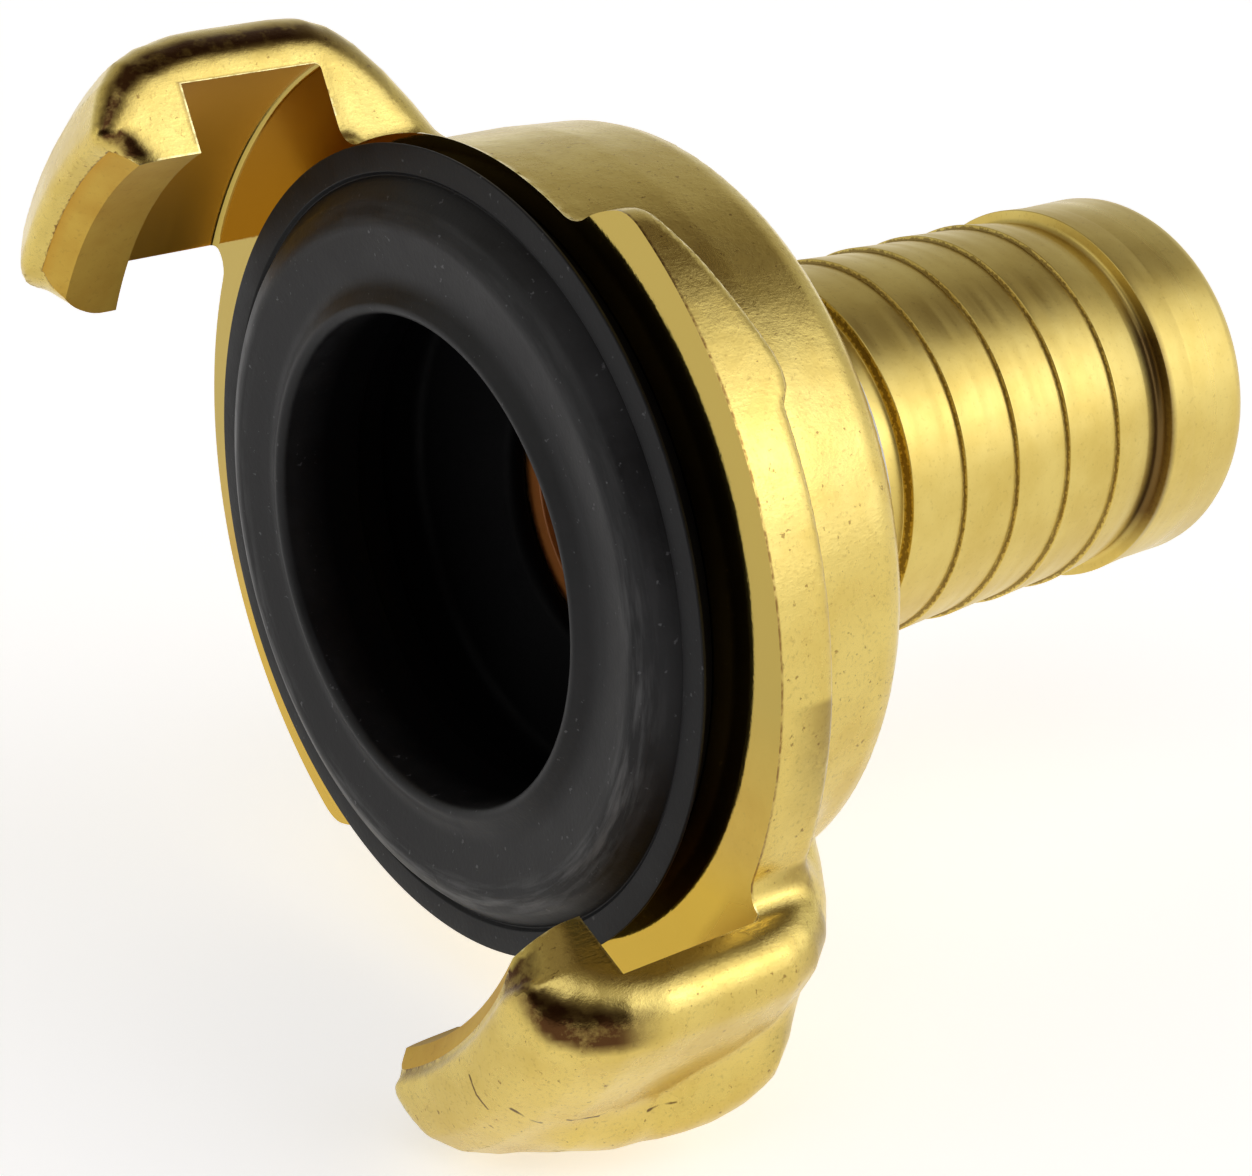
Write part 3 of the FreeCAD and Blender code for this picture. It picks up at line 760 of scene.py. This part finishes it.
def turned_brass():
    """The turned tail: painted shade at the barbs, in the tip groove and in the front of the bore."""
    material, tree, shader, colour, rough = machined_brass(
        "turned_brass", BRASS, BRASS_DEEP, roughness=0.32, ring_strength=0.3)
    place, x, _, z, r = axis_parts(tree)
    grain = noise(tree, place, scale=4200, detail=3, roughness=0.65)
    # painted shade in front of the barbs and in the tip groove
    colour = mix_colour(tree, barb_shade(tree, x, z, grain), colour, BRASS_MARKS_AND_SHADE)
    # painted shade: the front of the bore is reddish, darker and less metallic
    bore_shade = multiply(tree, fade(tree, r, 8.6, 7.9), fade(tree, x, 24, 14))
    colour = mix_colour(tree, bore_shade, colour, BRASS_BORE_SHADE)
    tree.links.new(span(tree, bore_shade, 0, 1, 1, 0.15), shader.inputs["Metallic"])
    tree.links.new(colour, shader.inputs["Base Color"])
    tree.links.new(rough, shader.inputs["Roughness"])
    return material


def barb_shade(tree, x, z, grain):
    """Painted shade in the corner in front of each barb and in the groove before the tip."""
    place = add(tree, x, span(tree, grain, 0.3, 0.7, -0.03 * MM, 0.03 * MM))
    past_first = calculate(tree, "SUBTRACT", place, BARB_FIRST * MM)
    share = calculate(tree, "FRACT", calculate(tree, "DIVIDE", past_first, BARB_PITCH * MM))
    corner = multiply(tree, between(tree, share, *CREASE_SHADE_SHARES, CREASE_SHADE_SOFT), 0.75,
                      between_mm(tree, x, BARBS_START, BARBS_END, 0.1))
    groove = multiply(tree, between_mm(tree, place, *GROOVE_SHADE_X, GROOVE_SHADE_X_SOFT),
                      between_mm(tree, z, *GROOVE_SHADE_Z, GROOVE_SHADE_Z_SOFT))
    return multiply(tree, calculate(tree, "MAXIMUM", corner, groove), 0.9)


def black_rubber():
    """Moulded black rubber: grey at the front, rubbed on the bead with a painted sheen growing towards
    the lower side, and painted shade in darker black further inside.
    """
    material, tree, shader = new_material("seal_rubber")
    place, x, y, z, r = axis_parts(tree)
    cloud = noise(tree, place, scale=330, detail=5, roughness=0.65)
    specks = noise(tree, place, scale=2600, detail=2, roughness=0.6)
    grain = noise(tree, place, scale=4200, detail=3, roughness=0.6)
    # stretched tenfold around the axis, so that the rubbing runs in arcs
    round_axis = combine(tree, r, multiply(tree, y, 0.1), multiply(tree, z, 0.1))
    arcs = noise(tree, round_axis, scale=2600, detail=4, roughness=0.6)

    grey = mix_colour(tree, span(tree, cloud, 0.36, 0.66, 0, 1), RUBBER_DARK, RUBBER_GREY)
    bead = multiply(tree, fade(tree, r, 14.6, 15.7), fade(tree, r, 17.0, 16.0))
    # the bead is rubbed in arcs, with a painted sheen that grows towards the lower side
    sheen_low_side = span(tree, z, 8 * MM, -6 * MM, 0.15, 1)
    rubbed_and_sheen = multiply(tree, bead, span(tree, arcs, 0.44, 0.66, 0, 0.8), sheen_low_side)
    grey = mix_colour(tree, rubbed_and_sheen, grey, RUBBER_RUBBED_SHEEN)
    grey = mix_colour(tree, ramp(tree, specks, [(0.69, 0.0), (0.76, 1.0)]), grey, RUBBER_SPECK)
    # painted shade: the rubber turns a darker black and less shiny further inside the seal
    outside = fade(tree, x, 0.0, -1.8)
    tree.links.new(mix_colour(tree, outside, RUBBER_BLACK, grey), shader.inputs["Base Color"])
    tree.links.new(span(tree, outside, 0, 1, 0.05, 0.22), shader.inputs["Specular IOR Level"])
    tree.links.new(span(tree, cloud, 0.3, 0.7, 0.40, 0.55), shader.inputs["Roughness"])

    normal = bump(tree, grain, strength=0.35, depth=0.03)
    normal = bump(tree, cloud, strength=0.25, depth=0.1, under=normal)
    tree.links.new(normal, shader.inputs["Normal"])
    return material


def plain_finish(name, colour, metallic, roughness):
    """A finish for the small inner parts, with slight mottling."""
    material, tree, shader = new_material(name)
    shader.inputs["Metallic"].default_value = metallic
    plain = scaled_coordinates(tree, (1, 1, 1))
    cloud = noise(tree, plain, scale=700, detail=4, roughness=0.6)
    darker = tuple(c * 0.75 for c in colour)
    tree.links.new(mix_colour(tree, cloud, colour, darker), shader.inputs["Base Color"])
    rough = span(tree, cloud, 0.3, 0.7, roughness * 0.8, roughness * 1.2)
    tree.links.new(rough, shader.inputs["Roughness"])
    tree.links.new(bump(tree, cloud, strength=0.2, depth=0.03), shader.inputs["Normal"])
    return material


# ---------------------------------------------------------------- pieces

FORGED = forged_brass()
FACED = faced_brass()
TURNED = turned_brass()
RUBBER = black_rubber()
STEEL = plain_finish("spring_steel", (0.55, 0.55, 0.56), metallic=1.0, roughness=0.3)
RING_RUBBER = plain_finish("ring_rubber", (0.015, 0.015, 0.016), metallic=0.0, roughness=0.5)
PLASTIC = plain_finish("washer_plastic", (0.75, 0.74, 0.70), metallic=0.0, roughness=0.45)
# the slot of the machined faces in the head's two materials
FACED_SLOT = 1
# a face whose normal lies this close to the axis is flat across it
FLAT_NORMAL = 0.9999

# cut edges are dull on the noses and round the flange rim, and carry a painted highlight elsewhere
NOSE_X = -10.5
RIM_X = -0.5
RIM_RADII = (21.5, 22.6)

# where claws carry the painted dark reflection and the heel stains: outside this radius and ahead of
# this x
DARK_BAND_RADIUS = 20.3
DARK_BAND_X = 3.5
# the painted dark reflection by how far the surface leans towards an end face, and by x: the upper
# claw's near end
NEAR_LEANS, NEAR_BY_LEAN = [0.55, 0.75, 0.94, 0.98], [0, 1, 1, 0]
NEAR_X, NEAR_BY_X = [-1, 3.5], [1, 0.2]
# the same for the lower claw's far end, whose heel behind x 0.5 also carries stains
FAR_LEANS, FAR_BY_LEAN = [0.12, 0.30, 0.72, 0.84], [0, 1, 1, 0]
FAR_X, FAR_BY_X = [-11.3, -10.8, -8.2, -6.2, 0.5, 2.5], [0, 1, 1, 0, 0, 0.5]


def make_head():
    """The forged head with its machined face, throats, lips and bore."""
    values, origin = field_grid()
    points, quads = surface_net(values, origin, GRID_STEP)
    points = settle(forging_distance, points)
    worn = np.clip((WEAR_START - points[:, 0]) / WEAR_LENGTH, 0, 1) * (points[:, 2] < 0)
    points[:, 0] += WEAR_DEPTH * worn ** WEAR_CURVE
    piece = mesh_piece("claw_head_forging", points, quads, [FORGED, FACED])
    cutter = turned_piece("cutter", MACHINED_OUTLINE, MACHINED_SEGMENTS, [FORGED, FACED], FACED_SLOT)
    clean_mesh(piece)
    clean_mesh(cutter, weld=True)
    boolean_cut(piece, cutter)
    mark_cut_edges(piece)
    mark_stain_and_dark_reflection(piece)
    smooth_by_angle(piece, HEAD_SHARP)
    # averaged normals would bend the reflections at the edge of the flat flange face
    for polygon in piece.data.polygons:
        if polygon.material_index == FACED_SLOT and abs(polygon.normal.x) > FLAT_NORMAL:
            polygon.use_smooth = False
    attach(piece, "head")
    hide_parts("claw_head")


def mark_cut_edges(piece):
    """Mark where machining met the forged skin: one at dull edges, minus one where a highlight is
    painted.
    """
    mesh = piece.data
    kinds = [set() for _ in mesh.vertices]
    for polygon in mesh.polygons:
        for v in polygon.vertices:
            kinds[v].add(polygon.material_index)
    marks = []
    for kind, vertex in zip(kinds, mesh.vertices):
        x, radius = vertex.co.x / MM, math.hypot(vertex.co.y, vertex.co.z) / MM
        worn = x < NOSE_X and vertex.co.z < 0
        dull = x < NOSE_X or (x > RIM_X and RIM_RADII[0] < radius < RIM_RADII[1])
        marks.append(0.0 if len(kind) < 2 or worn else 1.0 if dull else -1.0)
    layer = mesh.attributes.new("cut_edge", "FLOAT", "POINT")
    layer.data.foreach_set("value", marks)


def mark_stain_and_dark_reflection(piece):
    """Mark the roundings between the claws' end faces and their outsides, where a dark reflection is
    painted, and the stains at the lower claw's heel.
    """
    mesh = piece.data
    count = len(mesh.vertices)
    places, normals = np.empty(count * 3), np.empty(count * 3)
    mesh.vertices.foreach_get("co", places)
    mesh.vertices.foreach_get("normal", normals)
    places, normals = places.reshape(-1, 3) / MM, normals.reshape(-1, 3)
    # the lower half is turned onto the upper one, so that both claws lie in one place
    side = np.where(places[:, 2] < 0, -1, 1)
    turn = side[:, None] * np.array([0, 1, 1]) + np.array([1, 0, 0])
    (x, y, z), (_, ny, nz) = (places * turn).T, (normals * turn).T
    near, far = math.radians(CLAW_NEAR_END), math.radians(CLAW_FAR_END)
    to_near = nz * math.cos(near) - ny * math.sin(near)
    to_far = ny * math.sin(far) - nz * math.cos(far)
    near_band = np.interp(to_near, NEAR_LEANS, NEAR_BY_LEAN) * np.interp(x, NEAR_X, NEAR_BY_X)
    far_band = np.interp(to_far, FAR_LEANS, FAR_BY_LEAN) * np.interp(x, FAR_X, FAR_BY_X)
    on_claw = (np.hypot(y, z) > DARK_BAND_RADIUS) & (y > 0) & (x < DARK_BAND_X)
    band = np.where(side > 0, near_band, far_band)
    layer = mesh.attributes.new("stain_and_dark_reflection", "FLOAT", "POINT")
    layer.data.foreach_set("value", np.where(on_claw, band, 0.0))


def make_seal():
    """The rubber form seal."""
    piece = turned_piece("form_seal_rubber", round_outline(SEAL_CORNERS), SEAL_SEGMENTS, [RUBBER])
    clean_mesh(piece)
    smooth_by_angle(piece, SEAL_SHARP)
    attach(piece, "head")
    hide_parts("form_seal")


def make_tail():
    """The turned hose tail, with crisp barbs and softened edges."""
    barbs = []
    for k in range(BARB_COUNT):
        crest = BARB_FIRST + BARB_PITCH * k
        barbs.append((crest, BARB_CREST_RADIUS, BARB_CREST_ROUND))
        barbs.append((crest + BARB_LENGTH, BARB_FOOT_RADIUS, BARB_FOOT_ROUND))
    # the last barb runs on into the tip's groove
    barbs.pop()
    corners = TAIL_FRONT_CORNERS + barbs + TAIL_TIP_CORNERS
    piece = turned_piece("hose_tail_turned", round_outline(corners), TAIL_SEGMENTS, [TURNED])
    clean_mesh(piece)
    smooth_by_angle(piece, TAIL_SHARP)
    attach(piece, "tail")
    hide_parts("hose_tail")


def dress_node(name, material):
    """Give a CAD node that stays a finish of its own."""
    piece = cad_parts[name]
    piece.data.materials.clear()
    piece.data.materials.append(material)


# ---------------------------------------------------------------- studio

# tones of the surroundings from the lowest to overhead, by the height of the direction
WORLD_TONES = [
    (0.0, (0.58, 0.58, 0.57)), (0.25, (0.33, 0.33, 0.31)),
    (0.6, (0.24, 0.23, 0.20)), (0.95, (0.13, 0.11, 0.09)),
]
# soft patches in the surroundings: direction, where it starts and is full in degrees, and its tone
WORLD_PATCHES = [
    ((0.50, -0.10, 0.86), 30, 8, (0.055, 0.038, 0.024)),
    ((-0.38, -0.42, 0.82), 26, 10, (0.60, 0.60, 0.64)),
    ((-0.33, -0.88, 0.30), 36, 20, (0.035, 0.024, 0.016)),
    ((-0.78, -0.56, 0.26), 36, 20, (0.035, 0.024, 0.016)),
    ((0.57, -0.72, 0.36), 41, 6, (0.84, 0.85, 0.94)),
]
# every tone above is half of what reaches the object
WORLD_STRENGTH = 2.0

FLOOR_HALF_SIZE = 3000.0
FLOOR_TONE = (0.93, 0.93, 0.93, 1)
FLOOR_ROUGHNESS = 0.9
FLOOR_GLOW_TONE = (1, 1, 1, 1)
FLOOR_GLOW = 0.52

# soft lights: name, place, target and size in metres, and power in watts
SOFTBOXES = [
    ("right_softbox", (0.30, -0.40, 0.22), (0.01, 0, 0), (0.16, 0.14), 0.12),
    ("left_softbox", (-0.45, 0.10, 0.25), (0, 0, 0), (0.25, 0.25), 0.12),
]

CAMERA_PLACE = (-69.66, -101.15, 48.68)
CAMERA_AZIMUTH = -37.816
CAMERA_ELEVATION = 21.127
CAMERA_SENSOR = 36.0
CAMERA_LENS = 83.68
CAMERA_SHIFT = (0.0068, -0.0506)
# nearest and farthest distance seen, in metres
CAMERA_REACH = (0.005, 20)


def make_floor(height):
    """A wide pale floor under the object, at a height in metres."""
    s = FLOOR_HALF_SIZE
    material, _, shader = new_material("studio_floor")
    shader.inputs["Base Color"].default_value = FLOOR_TONE
    shader.inputs["Roughness"].default_value = FLOOR_ROUGHNESS
    shader.inputs["Emission Color"].default_value = FLOOR_GLOW_TONE
    shader.inputs["Emission Strength"].default_value = FLOOR_GLOW
    corners = [(-s, -s, 0), (s, -s, 0), (s, s, 0), (-s, s, 0)]
    piece = mesh_piece("studio_floor", corners, [(0, 1, 2, 3)], [material])
    piece.location.z = height


def add_softbox(name, place, target, size, power):
    """A rectangular soft light aimed at a point."""
    data = bpy.data.lights.new(name, "AREA")
    data.shape = "RECTANGLE"
    data.size, data.size_y = size
    data.energy = power
    light = bpy.data.objects.new(name, data)
    light.location = place
    light.rotation_euler = (Vector(target) - Vector(place)).to_track_quat("-Z", "Y").to_euler()
    bpy.context.scene.collection.objects.link(light)


def make_world():
    """A pale studio: bright on the right, dim overhead and dark around the camera."""
    world = bpy.data.worlds.new("studio")
    bpy.context.scene.world = world
    world.use_nodes = True
    tree = world.node_tree
    where = node(tree, "ShaderNodeTexCoord").outputs["Generated"]
    parts = node(tree, "ShaderNodeSeparateXYZ")
    tree.links.new(where, parts.inputs[0])
    colour = ramp(tree, parts.outputs["Z"], WORLD_TONES)
    for direction, start, full, tone in WORLD_PATCHES:
        nearness = vector_maths(tree, "DOT_PRODUCT", where, Vector(direction).normalized())["Value"]
        start, full = math.cos(math.radians(start)), math.cos(math.radians(full))
        patch = span(tree, nearness, start, full, 0, 1, interpolation_type="SMOOTHSTEP")
        colour = mix_colour(tree, patch, colour, tone)
    background = tree.nodes["Background"]
    tree.links.new(colour, background.inputs["Color"])
    background.inputs["Strength"].default_value = WORLD_STRENGTH


def make_camera():
    """The camera at the picture's viewing angle."""
    azimuth, elevation = math.radians(CAMERA_AZIMUTH), math.radians(CAMERA_ELEVATION)
    back = Vector((math.sin(azimuth) * math.cos(elevation),
                   -math.cos(azimuth) * math.cos(elevation), math.sin(elevation)))
    right = Vector((math.cos(azimuth), math.sin(azimuth), 0))
    up = back.cross(right)
    turn = Matrix((right, up, back)).transposed().to_4x4()
    data = bpy.data.cameras.new("camera")
    data.sensor_width = CAMERA_SENSOR
    data.lens = CAMERA_LENS
    data.shift_x, data.shift_y = CAMERA_SHIFT
    data.clip_start, data.clip_end = CAMERA_REACH
    camera = bpy.data.objects.new("camera", data)
    camera.matrix_world = Matrix.Translation(Vector(CAMERA_PLACE) * MM) @ turn
    bpy.context.scene.collection.objects.link(camera)
    bpy.context.scene.camera = camera


make_head()
make_seal()
make_tail()
dress_node("retaining_ring", STEEL)
dress_node("o_ring", RING_RUBBER)
dress_node("front_thrust_washer", PLASTIC)
dress_node("rear_thrust_washer", PLASTIC)

low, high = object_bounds()
make_floor(low.z)
make_world()
for softbox in SOFTBOXES:
    add_softbox(*softbox)
make_camera()
bpy.context.scene.view_settings.view_transform = "Standard"
